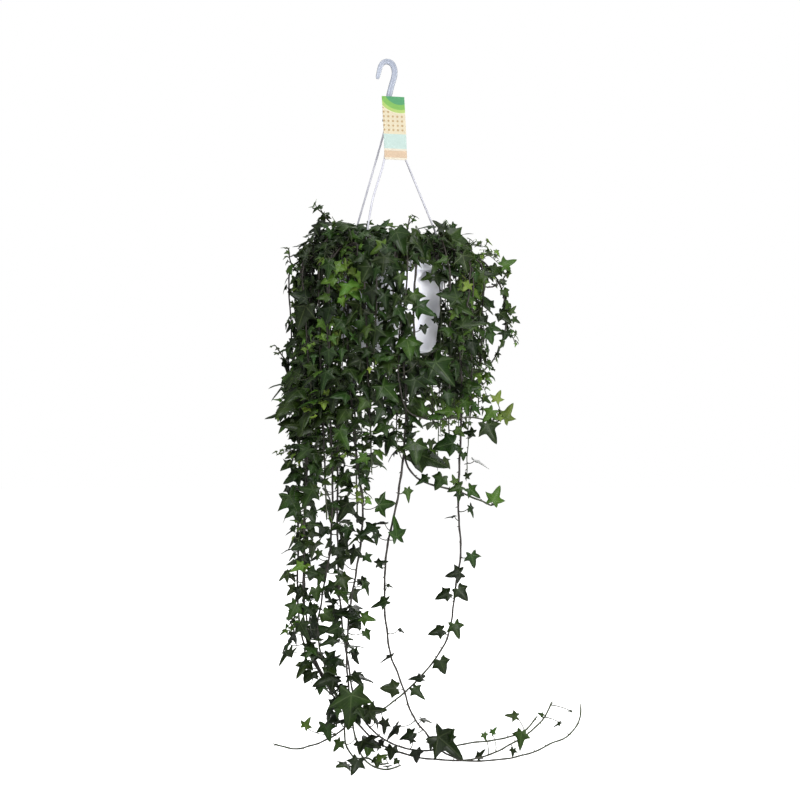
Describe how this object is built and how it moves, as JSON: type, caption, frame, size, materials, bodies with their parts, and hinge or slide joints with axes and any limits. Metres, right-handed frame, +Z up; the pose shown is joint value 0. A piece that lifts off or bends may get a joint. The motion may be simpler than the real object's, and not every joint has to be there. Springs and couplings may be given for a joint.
{
  "type": "hanging pot of english ivy",
  "caption": "Trailing English ivy in a tapered white plastic pot, hung from a clip-in strand hanger with a hook and a printed hang tag; long leafy vines fall below the pot.",
  "frame": {"origin": "the seat inside the crook of the hook, at the middle of its width, where the support carries it", "axes": "+Z up, through the hub and the pot's axis; -Y is the front that the hang tag faces; +X is to the right seen from the front"},
  "size_m": [0.5209, 0.3543, 1.0947],
  "materials": {
    "white_plastic": "satin white",
    "strand_plastic": "satin white",
    "clear_plastic": "clear moulded",
    "printed_card": "printed, satin",
    "potting_mix": "loose, damp",
    "ivy_plant": "waxy leaf"
  },
  "bodies": {
    "root": {"hang_tag": "printed_card", "hanger_hook": "clear_plastic", "hanger_strand_back": "strand_plastic", "hanger_strand_front": "strand_plastic", "hanger_strand_right": "strand_plastic", "ivy_cascade_01": "ivy_plant", "ivy_cascade_02": "ivy_plant", "ivy_cascade_03": "ivy_plant", "ivy_cascade_04": "ivy_plant", "ivy_cascade_05": "ivy_plant", "ivy_cascade_06": "ivy_plant", "ivy_cascade_07": "ivy_plant", "ivy_cascade_08": "ivy_plant", "ivy_cascade_09": "ivy_plant", "ivy_cascade_10": "ivy_plant", "ivy_cascade_11": "ivy_plant", "ivy_cascade_12": "ivy_plant", "ivy_cascade_13": "ivy_plant", "ivy_cascade_14": "ivy_plant", "ivy_cascade_15": "ivy_plant", "ivy_cascade_16": "ivy_plant", "ivy_cascade_17": "ivy_plant", "ivy_cascade_18": "ivy_plant", "ivy_cascade_19": "ivy_plant", "ivy_cascade_20": "ivy_plant", "ivy_cascade_21": "ivy_plant", "ivy_cascade_22": "ivy_plant", "ivy_shoot_left_low": "ivy_plant", "ivy_shoot_left_tip": "ivy_plant", "ivy_shoot_right_curl": "ivy_plant", "ivy_shoot_right_tip": "ivy_plant", "ivy_shoot_top_back": "ivy_plant", "ivy_shoot_top_left": "ivy_plant", "ivy_shoot_top_middle": "ivy_plant", "ivy_shoot_top_right": "ivy_plant", "ivy_side_shoot_lower": "ivy_plant", "ivy_side_shoot_upper": "ivy_plant", "ivy_trail_far_right": "ivy_plant", "ivy_trail_front": "ivy_plant", "ivy_trail_left_floor": "ivy_plant", "ivy_trail_left_inner": "ivy_plant", "ivy_trail_left_outer": "ivy_plant", "ivy_trail_middle": "ivy_plant", "ivy_trail_middle_back": "ivy_plant", "ivy_trail_right": "ivy_plant", "pot": "white_plastic", "potting_mix": "potting_mix"}
  },
  "joints": []
}
